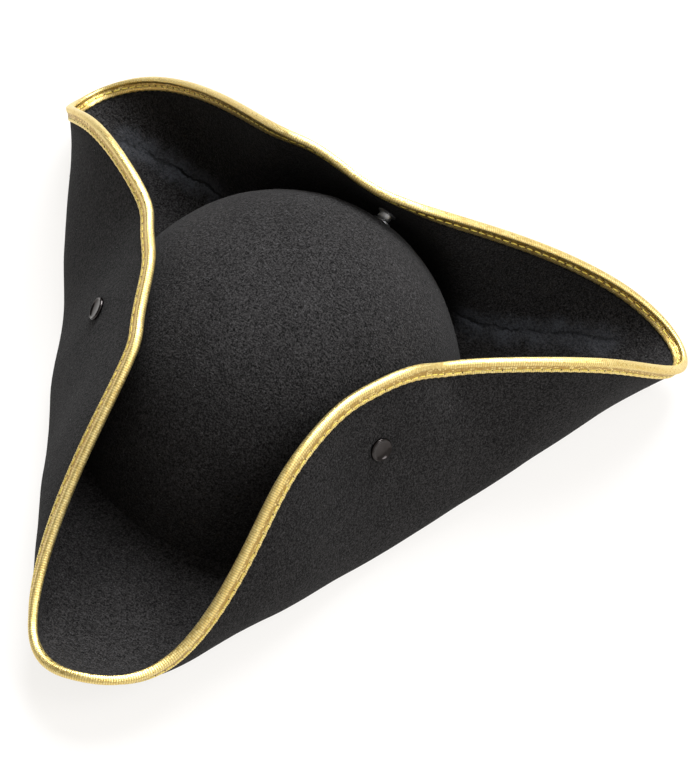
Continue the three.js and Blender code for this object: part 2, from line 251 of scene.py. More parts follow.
def rim_turns(count):
    """Directions spaced evenly along the rim, and the rim's length."""
    turns = SECTIONS[0][0] + np.linspace(0, 360, RIM_SAMPLES + 1)
    rim = brim_point(turns, 1.0)
    length = np.append(0, np.cumsum(np.linalg.norm(np.diff(rim, axis=0), axis=1)))
    return np.interp(np.arange(count) / count * length[-1], length, turns), length[-1]


def unit(v):
    return v / np.maximum(np.linalg.norm(v, axis=-1, keepdims=True), 1e-12)


def smooth_noise(p, seed):
    """Value noise in -1..1 at points, the same on every run."""
    cell = np.floor(p).astype(np.int64)
    f = p - cell
    f = f * f * (3 - 2 * f)
    total = 0
    for corner in np.ndindex(2, 2, 2):
        k = cell + np.array(corner)
        h = (k[..., 0] * 374761393 + k[..., 1] * 668265263 + k[..., 2] * 962287 + seed * 974711)
        h = h & 0xFFFFFFFF
        h = ((h ^ (h >> 13)) * 1274126177) & 0xFFFFFFFF
        value = (h ^ (h >> 16)) / 0x7FFFFFFF - 1
        total = total + value * np.prod(np.where(np.array(corner) == 1, f, 1 - f), axis=-1)
    return total


def to_frame(points):
    return (np.asarray(points) + OFFSET) * MM


def fade(value, low, high):
    t = np.clip((value - low) / (high - low), 0, 1)
    return t * t * (3 - 2 * t)


def distance_to_line(points, sides, line):
    """Distance from points on a surface to a polyline, where along it the nearest place is,
    the polyline's length, and the distance signed by the side of the line."""
    best = np.full(points.shape[:-1], 1e9)
    where, signed = np.zeros_like(best), np.zeros_like(best)
    run = 0.0
    for start, end in zip(line[:-1], line[1:]):
        way = end - start
        t = np.clip(((points - start) @ way) / (way @ way), 0, 1)
        off = points - start - t[..., None] * way
        gap = np.linalg.norm(off, axis=-1)
        hand = np.sign(np.sum(np.cross(way, off) * sides, axis=-1))
        nearer = gap < best
        best = np.where(nearer, gap, best)
        signed = np.where(nearer, gap * hand, signed)
        where = np.where(nearer, run + t * np.linalg.norm(way), where)
        run += np.linalg.norm(way)
    return best, where, run, signed


def halve(low, high, past):
    """The place between low and high where past begins to hold."""
    for _ in range(HALVINGS):
        middle = (low + high) / 2
        if past(middle):
            high = middle
        else:
            low = middle
    return low


def fastener_site(turn):
    """Flap point, outward axis and distance to the crown of one press fastener."""
    level = FASTENER_LEVEL * CROWN_HEIGHT - FELT / 2
    share = halve(0.4, 1.0, lambda at: brim_point(turn, at)[2] >= level)
    flap = brim_point(turn, share)
    along = brim_point(turn, share + 0.01) - flap
    round_ = brim_point(turn + 1, share) - flap
    flap_side = -unit(np.cross(along, round_))

    def depth(point):
        direction = math.degrees(math.atan2(point[1], point[0]))
        reach = opening_reach(direction) * crown_share(point[2] / CROWN_HEIGHT)
        return math.hypot(point[0], point[1]) - reach

    def meet(axis):
        return halve(0.0, 30.0, lambda way: depth(flap - axis * way) <= 0)

    touch = flap - flap_side * meet(flap_side)
    crown_side = unit(np.array([depth(touch + step) - depth(touch) for step in np.eye(3)]))
    axis = unit(flap_side + crown_side)
    return flap, axis, meet(axis)


SITES = {side: fastener_site(turn) for side, turn in FASTENERS.items()}


def add_object(name, data):
    obj = bpy.data.objects.new(name, data)
    bpy.context.scene.collection.objects.link(obj)
    return obj


def new_object(name, verts, faces, material):
    mesh = bpy.data.meshes.new(name)
    mesh.from_pydata(np.asarray(verts).tolist(), [], faces)
    mesh.materials.append(material)
    mesh.update()
    return add_object(name, mesh)


def ring_faces(starts, columns, looped):
    """Quads between consecutive rings; a start with a negative sign is a single point."""
    faces = []
    j = np.arange(columns)
    k = (j + 1) % columns
    count = len(starts) if looped else len(starts) - 1
    for i in range(count):
        a, b = starts[i], starts[(i + 1) % len(starts)]
        if a < 0:
            faces += np.stack([np.full(columns, -a - 1), b + j, b + k], 1).tolist()
        elif b < 0:
            faces += np.stack([a + j, np.full(columns, -b - 1), a + k], 1).tolist()
        else:
            faces += np.stack([a + j, b + j, b + k, a + k], 1).tolist()
    return faces


def smooth(obj, angle=None):
    obj.data.shade_smooth()
    if angle is not None:
        obj.data.set_sharp_from_angle(angle=math.radians(angle))


def declare(obj, slot, *nodes):
    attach(obj, "root")
    if nodes:
        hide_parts(*nodes)


def felt_grid(columns, crown_rings, brim_rings):
    """Middle of the felt and its unit sides, ring by ring from the crown's top to the rim."""
    turns, _ = rim_turns(columns)
    angles = np.pi / 2 * np.arange(crown_rings - 1, 0, -1) / crown_rings
    ups = np.append(np.sin(angles) ** (2 / CROWN_FULLNESS), [LOWEST_RING, 0.0])
    crown = np.stack([polar(turns, opening_reach(turns) * crown_share(up), CROWN_HEIGHT * up)
                      for up in ups])
    shares = brim_shares(turns, brim_rings)
    brim = np.stack([brim_point(turns, row) for row in shares])
    middle = np.concatenate([crown, brim])
    foot = len(ups) - 1

    def normals(part):
        down = np.gradient(part, axis=0)
        around = np.roll(part, -1, axis=1) - np.roll(part, 1, axis=1)
        return unit(np.cross(down, around))

    sides = np.concatenate([normals(crown), normals(brim)])
    wall = normals(crown)[-1]
    up = np.array([0, 0, 1.0])
    sides[foot] = (wall + up) / (1 + wall @ up)[:, None]
    sides[foot + 1] = up
    return turns, shares, middle, sides, foot


def brim_shares(turns, rings):
    """Shares of each ring, closer together where a crease crosses the column."""
    turns = np.mod(turns, 360)
    fine = np.linspace(0, 1, SHARE_SAMPLES)[:, None]
    density = np.ones((SHARE_SAMPLES, len(turns)))
    for crease in LONG_CREASES:
        line = np.array(sorted(crease["line"]))
        first, last = line[0, 0], line[-1, 0]
        here = np.interp(turns, line[:, 0], line[:, 1])
        inside = fade(turns, first - CROWDED_TURN, first)
        inside = inside * (1 - fade(turns, last, last + CROWDED_TURN))
        density = density + CROWDING * inside * np.exp(-((fine - here) / CROWDED_SHARE) ** 2)
    total = np.cumsum(density, axis=0)
    total = (total - total[0]) / (total[-1] - total[0])
    wanted = np.arange(rings + 1) / rings
    return np.stack([np.interp(wanted, total[:, j], fine[:, 0]) for j in range(len(turns))], axis=1)


def shape_felt(turns, shares, middle, sides, foot):
    """Gentle unevenness of pressed felt and its creases, kept off the rim and the rest ring."""
    rings = len(middle)
    calm = np.ones((rings, len(turns)))
    rim_gap = np.linalg.norm(middle - middle[-1], axis=-1)
    calm *= fade(rim_gap, *RIM_CALM)
    foot_gap = np.linalg.norm(middle - middle[foot], axis=-1)
    calm *= fade(foot_gap, *FOOT_CALM)
    for flap, axis, span in SITES.values():
        for place in (flap, flap - axis * span):
            calm *= fade(np.linalg.norm(middle - place, axis=-1), *FASTENER_CALM)
    wave = sum(height * smooth_noise(middle / spacing, seed) for height, spacing, seed in WAVES)
    shaped = middle + sides * (wave * calm)[..., None]
    press = np.zeros((rings, len(turns)))
    crease_gap, crease_wear_and_shade = np.full_like(press, NO_CREASE), np.zeros_like(press)
    mean, change, spacing, seed = CREASE_PATCHES
    for crease in CREASES:
        line = np.array([brim_point(turn, share) for turn, share in crease["line"]])
        brim = middle[foot + 1:]
        gap, where, run, signed = distance_to_line(brim, sides[foot + 1:], line)
        end = fade(where, -1, 0.12 * run) * (1 - fade(where, 0.8 * run, run))
        patchy = mean + change * smooth_noise(brim / spacing, seed)
        width = crease["width"]
        groove = -np.exp(-(gap / width) ** 2)
        bank = BANK_HEIGHT * np.exp(-((gap - BANK_PLACE * width) / (BANK_WIDTH * width)) ** 2)
        press[foot + 1:] += crease["depth"] * (groove + bank) * end * patchy
        nearer = gap < np.abs(crease_gap[foot + 1:])
        crease_gap[foot + 1:] = np.where(nearer, signed, crease_gap[foot + 1:])
        crease_wear_and_shade[foot + 1:] += crease["wear_and_shade"] * end * patchy * (gap < CREASE_REACH)
    return shaped, press, np.clip(crease_gap, -CREASE_REACH, CREASE_REACH), crease_wear_and_shade


class Flow:
    """One shader socket, with arithmetic on it as Math nodes."""

    def __init__(self, tree, socket):
        self.tree, self.socket = tree, socket

    def math(self, operation, *others):
        node = self.tree.nodes.new("ShaderNodeMath")
        node.operation = operation
        for slot, value in zip(node.inputs, (self, *others)):
            plug(self.tree, slot, value)
        return Flow(self.tree, node.outputs[0])

    def __add__(self, other):
        return self.math("ADD", other)

    def __sub__(self, other):
        return self.math("SUBTRACT", other)

    def __mul__(self, other):
        return self.math("MULTIPLY", other)

    def __truediv__(self, other):
        return self.math("DIVIDE", other)

    def __rsub__(self, other):
        return (self * -1.0) + other

    def between(self, low, high):
        """0 below low, 1 above high, smooth between."""
        return make(self.tree, "ShaderNodeMapRange", {
            "Value": self, "From Min": low, "From Max": high}, interpolation_type="SMOOTHSTEP")


def plug(tree, slot, value):
    if isinstance(value, Flow):
        tree.links.new(value.socket, slot)
    else:
        slot.default_value = value


def make(tree, kind, inputs=(), output=0, **settings):
    """A node with its settings and inputs, as the flow out of one of its outputs."""
    node = tree.nodes.new(kind)
    for key, value in settings.items():
        setattr(node, key, value)
    for key, value in dict(inputs).items():
        plug(tree, node.inputs[key], value)
    return Flow(tree, node.outputs[output])


def blend_colour(tree, factor, first, second):
    """A Mix node in colour mode, whose sockets have numbers because their names repeat."""
    node = tree.nodes.new("ShaderNodeMix")
    node.data_type = "RGBA"
    plug(tree, node.inputs[0], factor)
    plug(tree, node.inputs[6], first if isinstance(first, Flow) else (*first, 1))
    plug(tree, node.inputs[7], second if isinstance(second, Flow) else (*second, 1))
    return Flow(tree, node.outputs[2])


def new_material(name, **constants):
    """A material with its Principled shader's fixed values, and its tree and shader."""
    material = bpy.data.materials.new(name)
    material.use_nodes = True
    tree = material.node_tree
    shader = tree.nodes["Principled BSDF"]
    for key, value in constants.items():
        shader.inputs[key.replace("_", " ")].default_value = value
    return material, tree, shader


def dress(tree, shader, **flows):
    for key, flow in flows.items():
        plug(tree, shader.inputs[key.replace("_", " ")], flow)


def stretched(tree, point, turn, scale):
    return make(tree, "ShaderNodeMapping", {"Vector": point, "Rotation": turn, "Scale": scale})


def noise(tree, point, scale, detail=2.0, roughness=0.5):
    return make(tree, "ShaderNodeTexNoise", {
        "Vector": point, "Scale": scale, "Detail": detail, "Roughness": roughness})


def bump(tree, height, strength, distance):
    return make(tree, "ShaderNodeBump", {"Strength": strength, "Distance": distance, "Height": height})


def felt_material():
    material, tree, shader = new_material(
        "black_felt", Sheen_Weight=0.03, Sheen_Roughness=0.5, Specular_IOR_Level=0.06)
    point = make(tree, "ShaderNodeTexCoord", output="Object")
    grain, clumps, patches, broken, long_jags, short_jags = (
        noise(tree, point, *row) for row in FELT_NOISES.values())
    combed = noise(tree, stretched(tree, point, (0.4, 0.2, 0.9), (260, 1300, 1100)), 1.0, 2.0)
    crossed = noise(tree, stretched(tree, point, (1.1, -0.5, -0.7), (1200, 230, 1000)), 1.0, 2.0)
    fibres = combed.math("MAXIMUM", crossed)
    speck = make(tree, "ShaderNodeTexVoronoi", {"Vector": point, "Scale": SPECKS})
    chance = make(tree, "ShaderNodeTexVoronoi", {"Vector": point, "Scale": SPECKS}, output="Color")
    lucky = make(tree, "ShaderNodeSeparateColor", {"Color": chance}).between(0.86, 0.98)
    dots = (1.0 - speck.between(0.12, 0.42)) * lucky
    fine_lift = grain.between(0.4, 0.66) * 0.62 + clumps.between(0.38, 0.66) * 0.36
    lift = (fine_lift + fibres.between(0.5, 0.75) * 0.22) * (patches * 0.7 + 0.65)
    colour = blend_colour(tree, lift, (0.0012, 0.0011, 0.001), (0.0385, 0.0365, 0.0362))
    colour = blend_colour(tree, dots * 0.25, colour, (0.15, 0.15, 0.155))
    wear_and_shade = make(tree, "ShaderNodeAttribute", output="Fac", attribute_name="crease_wear_and_shade")
    gap = make(tree, "ShaderNodeAttribute", output="Fac", attribute_name="crease_gap")
    jags = (long_jags - 0.5) * 5.0 + (short_jags - 0.5) * 3.6
    off = (gap + jags).math("ABSOLUTE")
    # The crack line is painted near black as shade in the crease's groove; the same mask also sinks the
    # bump there.
    shaded_crack = (1.0 - off.between(0.4, 1.25)) * wear_and_shade * broken.between(0.3, 0.46)
    worn = (1.0 - (gap + jags * 2.0).math("ABSOLUTE").between(1.0, 11.0)) * wear_and_shade
    rubbed = worn * (clumps.between(0.3, 0.6) * 0.5 + 0.4)
    colour = blend_colour(tree, rubbed, colour, (0.07, 0.075, 0.086))
    colour = blend_colour(tree, shaded_crack * 0.92, colour, (0.0008, 0.0008, 0.0008))
    height = grain * 0.8 + clumps * 0.9 + fibres * 0.5 + dots * 0.2 - shaded_crack * 0.8
    dress(tree, shader, Base_Color=colour, Roughness=grain * 0.2 + 0.78,
          Normal=bump(tree, height, 0.9, 0.0006))
    return material


def tape_material():
    material, tree, shader = new_material(
        "gold_tape", Specular_IOR_Level=0.5, Anisotropic=0.3)
    lay = make(tree, "ShaderNodeUVMap", uv_map="lay")
    along, across = (make(tree, "ShaderNodeSeparateXYZ", {"Vector": lay}, output=axis) for axis in "XY")
    rib = (along * (2 * math.pi / RIB_PITCH)).math("COSINE")
    strand = (across * (2 * math.pi / STRAND_PITCH) + rib * 0.8).math("COSINE")
    cell = make(tree, "ShaderNodeCombineXYZ", {
        "X": (along / RIB_PITCH + 0.5).math("FLOOR"), "Y": (across / STRAND_PITCH).math("FLOOR")})
    twinkle = make(tree, "ShaderNodeTexWhiteNoise", {"Vector": cell})
    lengthened = make(tree, "ShaderNodeCombineXYZ", {"X": along * 0.03, "Y": across * 0.2})
    drift = noise(tree, lengthened, 1.0)
    # The grooves between ribs are painted darker brown as shade; the same mask also lowers the metallic
    # and raises the roughness there.
    groove = (1.0 - rib.between(-0.95, 0.0)) * 0.5
    foil = blend_colour(tree, twinkle * 0.5 + drift * 0.5, (0.76, 0.5, 0.11), (1.0, 0.87, 0.43))
    band = make(tree, "ShaderNodeAttribute", output="Fac", attribute_name="band")
    # The band between the bead and the stitches is painted dark brown as a reflection of dark
    # surroundings, all but its brightest sparkles.
    painted_dark_reflection = band * (1.0 - twinkle.between(0.6, 0.98)) * 0.78
    foil = blend_colour(tree, painted_dark_reflection, foil, (0.36, 0.2, 0.045))
    colour = blend_colour(tree, groove, foil, (0.4, 0.26, 0.05))
    height = rib * 0.4 + strand * 0.3 + twinkle * 0.6
    dress(tree, shader, Base_Color=colour, Roughness=twinkle * 0.2 + groove * 0.15 + 0.27,
          Metallic=0.92 - groove * 0.3, Normal=bump(tree, height, 0.55, 0.0001))
    return material


def thread_material():
    material, tree, shader = new_material("gold_thread", Specular_IOR_Level=0.5)
    point = make(tree, "ShaderNodeTexCoord", output="Object")
    twist = noise(tree, point, 2600.0)
    colour = blend_colour(tree, twist, (0.8, 0.58, 0.03), (1.0, 0.92, 0.25))
    dress(tree, shader, Base_Color=colour, Roughness=twist * 0.25 + 0.3,
          Metallic=twist * 0.3 + 0.15, Normal=bump(tree, twist, 0.5, 0.0001))
    return material


def metal_material(name, dark, bright, roughness):
    material, tree, shader = new_material(name, Metallic=1.0)
    point = make(tree, "ShaderNodeTexCoord", output="Object")
    scratches = noise(tree, stretched(tree, point, (0.3, 0.8, 0.2), (300, 4200, 900)), 1.0, 3.0)
    smudge = noise(tree, point, 240.0, 3.0)
    dress(tree, shader, Base_Color=blend_colour(tree, smudge, dark, bright),
          Roughness=smudge.between(0.3, 0.8) * 0.1 + scratches * 0.06 + roughness,
          Normal=bump(tree, scratches, 0.12, 0.00003))
    return material


def hole_shade_material():
    # Dark brown beads painted as the shade inside the stitch holes.
    material, tree, shader = new_material("stitch_hole_shade", Specular_IOR_Level=0.1)
    point = make(tree, "ShaderNodeTexCoord", output="Object")
    grain = noise(tree, point, 3000.0)
    colour = blend_colour(tree, grain, (0.04, 0.025, 0.008), (0.16, 0.1, 0.03))
    dress(tree, shader, Base_Color=colour, Roughness=grain * 0.3 + 0.6)
    return material


def fibre_material():
    material, tree, shader = new_material("felt_fibre", Specular_IOR_Level=0.3, Sheen_Weight=0.3)
    point = make(tree, "ShaderNodeTexCoord", output="Object")
    shade = noise(tree, point, 120.0)
    colour = blend_colour(tree, shade.between(0.5, 0.75), (0.01, 0.01, 0.011), (0.07, 0.07, 0.075))
    dress(tree, shader, Base_Color=colour, Roughness=shade * 0.3 + 0.5)
    return material


def node_group(name, sockets):
    """An empty Geometry Nodes group with named inputs and a Geometry output."""
    group = bpy.data.node_groups.new(name, "GeometryNodeTree")
    group.interface.new_socket("Geometry", in_out="INPUT", socket_type="NodeSocketGeometry")
    for label, kind in sockets:
        group.interface.new_socket(label, in_out="INPUT", socket_type=kind)
    group.interface.new_socket("Geometry", in_out="OUTPUT", socket_type="NodeSocketGeometry")
    source, sink = group.nodes.new("NodeGroupInput"), group.nodes.new("NodeGroupOutput")
    wires = {label: Flow(group, source.outputs[label]) for label, _ in sockets}
    return group, Flow(group, source.outputs["Geometry"]), wires, sink


def finish_group(group, instances, material, sink):
    real = make(group, "GeometryNodeRealizeInstances", {"Geometry": instances})
    plug(group, sink.inputs["Geometry"],
         make(group, "GeometryNodeSetMaterial", {"Geometry": real, "Material": material}))


def random_value(group, low, high, seed):
    return make(group, "FunctionNodeRandomValue", {"Min": low, "Max": high, "Seed": seed},
                output=1, data_type="FLOAT")


def stitch_group():
    """Long beads set end to end on a closed line, lying on the surface whose side it carries."""
    group, line, wires, sink = node_group("stitch_row", [
        ("Count", "NodeSocketInt"), ("Length", "NodeSocketFloat"), ("Radius", "NodeSocketFloat"),
        ("Spread", "NodeSocketFloat"), ("Material", "NodeSocketMaterial")])
    curve = make(group, "GeometryNodeMeshToCurve", {"Mesh": line})
    spaced = make(group, "GeometryNodeResampleCurve", {"Curve": curve, "Count": wires["Count"]})
    side = make(group, "GeometryNodeInputNamedAttribute", {"Name": "side"}, data_type="FLOAT_VECTOR")
    tangent = make(group, "GeometryNodeInputTangent")
    lengthwise = make(group, "FunctionNodeAlignRotationToVector", {"Vector": tangent}, axis="X")
    laid = make(group, "FunctionNodeAlignRotationToVector", {"Rotation": lengthwise, "Vector": side},
                axis="Z", pivot_axis="X")
    bead = make(group, "GeometryNodeMeshUVSphere", {"Segments": 8, "Rings": 6, "Radius": 0.5})
    low, high = (wires["Spread"] * sign + 1.0 for sign in (-1.0, 1.0))
    jitter = random_value(group, low, high, 4)
    size = make(group, "ShaderNodeCombineXYZ", {
        "X": wires["Length"] * jitter, "Y": wires["Radius"] * jitter * 2.0, "Z": wires["Radius"] * 1.6})
    beads = make(group, "GeometryNodeInstanceOnPoints", {
        "Points": spaced, "Instance": bead, "Rotation": laid, "Scale": size})
    finish_group(group, beads, wires["Material"], sink)
    return group


def fibre_group():
    """Short bent fibres scattered over a surface above the lowest level and lying almost flat
    on it. Their radius is a share of their length."""
    group, surface, wires, sink = node_group("loose_fibres", [
        ("Density", "NodeSocketFloat"), ("Length", "NodeSocketFloat"), ("Radius", "NodeSocketFloat"),
        ("Seed", "NodeSocketInt"), ("Lowest", "NodeSocketFloat"), ("Material", "NodeSocketMaterial")])
    scatter = group.nodes.new("GeometryNodeDistributePointsOnFaces")
    place = make(group, "GeometryNodeInputPosition")
    height = make(group, "ShaderNodeSeparateXYZ", {"Vector": place}, output="Z")
    above = make(group, "FunctionNodeCompare", {"A": height, "B": wires["Lowest"]},
                 data_type="FLOAT", operation="GREATER_THAN")
    plug(group, scatter.inputs["Mesh"], surface)
    plug(group, scatter.inputs["Selection"], above)
    plug(group, scatter.inputs["Density"], wires["Density"])
    plug(group, scatter.inputs["Seed"], wires["Seed"])
    arc = make(group, "GeometryNodeCurveQuadraticBezier", {
        "Resolution": 3, "Start": (-0.5, 0.0, 0.0), "Middle": (0.0, 0.35, 0.12), "End": (0.5, 0.0, 0.1)})
    ring = make(group, "GeometryNodeCurvePrimitiveCircle", {"Resolution": 3, "Radius": wires["Radius"]})
    fibre = make(group, "GeometryNodeCurveToMesh", {
        "Curve": arc, "Profile Curve": ring, "Fill Caps": True})
    spin = random_value(group, 0.0, 6.283, 7)
    turned = make(group, "FunctionNodeAxisAngleToRotation", {"Axis": (0.0, 0.0, 1.0), "Angle": spin})
    upright = Flow(group, scatter.outputs["Rotation"])
    laid = make(group, "FunctionNodeRotateRotation", {"Rotation": upright, "Rotate By": turned},
                rotation_space="LOCAL")
    grown = random_value(group, 0.5, 1.5, 9)
    fibres = make(group, "GeometryNodeInstanceOnPoints", {
        "Points": Flow(group, scatter.outputs["Points"]), "Instance": fibre, "Rotation": laid,
        "Scale": grown * wires["Length"]})
    finish_group(group, fibres, wires["Material"], sink)
    return group


def grow(name, source, group, values):
    """The mesh that a node group makes from a source mesh, as a plain object."""
    holder = add_object(name + "_maker", source)
    modifier = holder.modifiers.new("grow", "NODES")
    modifier.node_group = group
    sockets = {item.name: item.identifier for item in group.interface.items_tree
               if item.item_type == "SOCKET" and item.in_out == "INPUT"}
    for label, value in values.items():
        modifier[sockets[label]] = value
    bpy.context.view_layer.update()
    grown = holder.evaluated_get(bpy.context.evaluated_depsgraph_get())
    mesh = bpy.data.meshes.new_from_object(grown)
    mesh.name = name
    bpy.data.objects.remove(holder)
    if not mesh.materials:
        mesh.materials.append(values["Material"])
    return add_object(name, mesh)


def rim_strip(columns, depth, steps):
    """Felt middle and side at even distances in from the rim, square to it."""
    turns, length = rim_turns(columns)
    turn, share = turns.copy(), np.ones(columns)
    along, round_ = brim_slopes(turn, share)
    edge = unit(round_)
    inward = unit(-along + edge * np.sum(along * edge, axis=1, keepdims=True))
    side = unit(np.cross(along, round_))
    points, sides = [brim_point(turn, share)], [side]
    for _ in range(steps):
        way = unit(inward - side * np.sum(inward * side, axis=1, keepdims=True)) * (depth / steps)
        aa, rr = np.sum(along * along, axis=1), np.sum(round_ * round_, axis=1)
        pairs = ((along, round_), (along, way), (round_, way))
        ar, aw, rw = (np.sum(one * other, axis=1) for one, other in pairs)
        scale = aa * rr - ar * ar
        share = share + (aw * rr - rw * ar) / scale
        turn = turn + (rw * aa - aw * ar) / scale
        points.append(brim_point(turn, share))
        along, round_ = brim_slopes(turn, share)
        side = unit(np.cross(along, round_))
        sides.append(side)
    return np.array(points), np.array(sides), inward, length


def on_strip(strip, inset, aside):
    """Point on the rim strip at a distance inward, and out from the felt's middle."""
    points, sides, inward, _ = strip
    steps = len(points) - 1
    at = np.clip(inset / STRIP_DEPTH * steps, 0, steps - 1e-6)
    i = np.floor(at).astype(int)
    j = np.arange(points.shape[1])
    part = (at - i)[..., None]
    spot = points[i, j] * (1 - part) + points[i + 1, j] * part
    side = unit(sides[i, j] * (1 - part) + sides[i + 1, j] * part)
    spot = spot + inward * np.minimum(inset, 0)[..., None]
    return spot + side * np.asarray(aside)[..., None], side


class FeltSettings(bpy.types.PropertyGroup):
    columns: IntProperty(name="Columns", description="Facets round the hat", default=436, min=48)
    crown_rings: IntProperty(name="Crown rings", description="Rings up the crown", default=36, min=8)
    brim_rings: IntProperty(name="Brim rings", description="Rings across the brim", default=66, min=8)


class TapeSettings(bpy.types.PropertyGroup):
    per_rib: IntProperty(name="Facets a rib", description="Facets along each rib", default=3, min=2)
    rib_height: FloatProperty(name="Rib height", description="How far a rib stands out", unit="LENGTH",
                              default=0.00008, min=0)
    scallop: FloatProperty(name="Scallop", description="How far the stitches draw the tape's edge in",
                           unit="LENGTH", default=0.0003, min=0)


class StitchSettings(bpy.types.PropertyGroup):
    pitch: FloatProperty(name="Pitch", description="Distance from stitch to stitch", unit="LENGTH",
                         default=STITCH_PITCH * MM, min=0.001)
    length: FloatProperty(name="Length", description="Length of a stitch", unit="LENGTH",
                          default=0.0042, min=0.0005)
    radius: FloatProperty(name="Radius", description="Half the thread's thickness", unit="LENGTH",
                          default=0.0003, min=0.00005)


class FibreSettings(bpy.types.PropertyGroup):
    density: FloatProperty(name="Density", description="Loose fibres in a square metre",
                           default=9000, min=0)
    length: FloatProperty(name="Length", description="Usual length of a fibre", unit="LENGTH",
                          default=0.0014, min=0.0001)
    seed: IntProperty(name="Seed", description="Which scatter of fibres", default=12)


class FastenerSettings(bpy.types.PropertyGroup):
    facets: IntProperty(name="Facets", description="Facets round each disc", default=64, min=12)
    cap_radius: FloatProperty(name="Cap radius", description="Half the cap's width", unit="LENGTH",
                              default=0.0058, min=0.001)


class TricornSettings(bpy.types.PropertyGroup):
    felt: PointerProperty(type=FeltSettings)
    tape: PointerProperty(type=TapeSettings)
    stitches: PointerProperty(type=StitchSettings)
    fibres: PointerProperty(type=FibreSettings)
    fasteners: PointerProperty(type=FastenerSettings)


class TRICORN_OT_felt(bpy.types.Operator):
    """Build the felt crown and brim"""
    bl_idname = "tricorn.felt"
    bl_label = "Felt body"

    def execute(self, context):
        settings = context.scene.tricorn.felt
        turns, shares, middle, sides, foot = felt_grid(
            settings.columns, settings.crown_rings, settings.brim_rings)
        shaped, press, crease_gap, crease_wear_and_shade = shape_felt(turns, shares, middle, sides, foot)
        half = FELT / 2
        over = shaped + sides * (half + press)[..., None]
        under = shaped - sides * (half - CREASE_BEHIND * press)[..., None]
        columns = settings.columns
        verts, starts = [[[0, 0, CROWN_HEIGHT + half]]], [-1]
        count = 1
        for ring in [*over, *under[::-1]]:
            starts.append(count)
            verts.append(ring)
            count += columns
        starts.append(-count - 1)
        verts.append([[0, 0, CROWN_HEIGHT - half]])
        faces = ring_faces(starts, columns, looped=False)
        points = to_frame(np.concatenate(verts))
        points[:, 2] = np.maximum(points[:, 2], 0)
        obj = new_object("felt_shell", points, faces, felt_material())
        for name, field in (("crease_gap", crease_gap), ("crease_wear_and_shade", crease_wear_and_shade)):
            layer = obj.data.attributes.new(name, "FLOAT", "POINT")
            values = np.concatenate([[0], field.ravel(), np.zeros(field.size), [0]])
            layer.data.foreach_set("value", values.astype(np.float32))
        smooth(obj, 50)
        declare(obj, "felt", "felt_body")
        return {"FINISHED"}


class TRICORN_OT_tape(bpy.types.Operator):
    """Build the ribbed tape folded over the rim"""
    bl_idname = "tricorn.tape"
    bl_label = "Edge tape"

    def execute(self, context):
        settings = context.scene.tricorn.tape
        _, length = rim_turns(8)
        ribs = round(length / RIB_PITCH)
        columns = ribs * settings.per_rib
        strip = rim_strip(columns, STRIP_DEPTH, STRIP_STEPS)
        outline = TAPE_INNER + TAPE_OUTER + TAPE_LINING
        phase = 2 * np.pi * np.arange(columns) / settings.per_rib
        stitches = round(length / STITCH_PITCH)
        pull = np.abs(np.cos(np.pi * np.arange(columns) / columns * stitches))
        loops = []
        for number, (inset, aside) in enumerate(outline):
            lining = number >= len(TAPE_INNER) + len(TAPE_OUTER)
            ridge = 0 if lining or abs(aside) < RIBBED_FROM else settings.rib_height / MM
            height = aside + np.sign(aside) * ridge * np.cos(phase)
            edge = (settings.scallop / MM) * pull if inset > SCALLOPED_FROM else 0
            loops.append(on_strip(strip, np.full(columns, inset) - edge, height)[0])
        verts = np.concatenate(loops)
        starts = [columns * i for i in range(len(outline))]
        faces = ring_faces(starts, columns, looped=True)
        obj = new_object("edge_tape", to_frame(verts), faces, tape_material())
        layer = obj.data.attributes.new("band", "FLOAT", "POINT")
        flat = [TAPE_BAND[0] < inset < TAPE_BAND[1] for inset, _ in outline]
        layer.data.foreach_set("value", np.repeat(flat, columns).astype(np.float32))
        self.lay(obj, columns, outline, strip[3])
        smooth(obj)
        declare(obj, "tape", "edge_binding")
        return {"FINISHED"}

    @staticmethod
    def lay(obj, columns, outline, length):
        """Millimetres along the rim and across the tape, as the map named lay."""
        across = np.cumsum([0] + [math.dist(a, b) for a, b in zip(outline[:-1], outline[1:])])
        total = across[-1] + math.dist(outline[-1], outline[0])
        across = np.append(across, total)
        layer = obj.data.uv_layers.new(name="lay")
        i, j = np.divmod(np.arange(len(outline) * columns), columns)
        step = length / columns
        corners = np.stack([
            np.stack([(j + right) * step, across[i + far]], 1)
            for right, far in ((0, 0), (0, 1), (1, 1), (1, 0))], axis=1)
        layer.data.foreach_set("uv", corners.astype(np.float32).ravel())


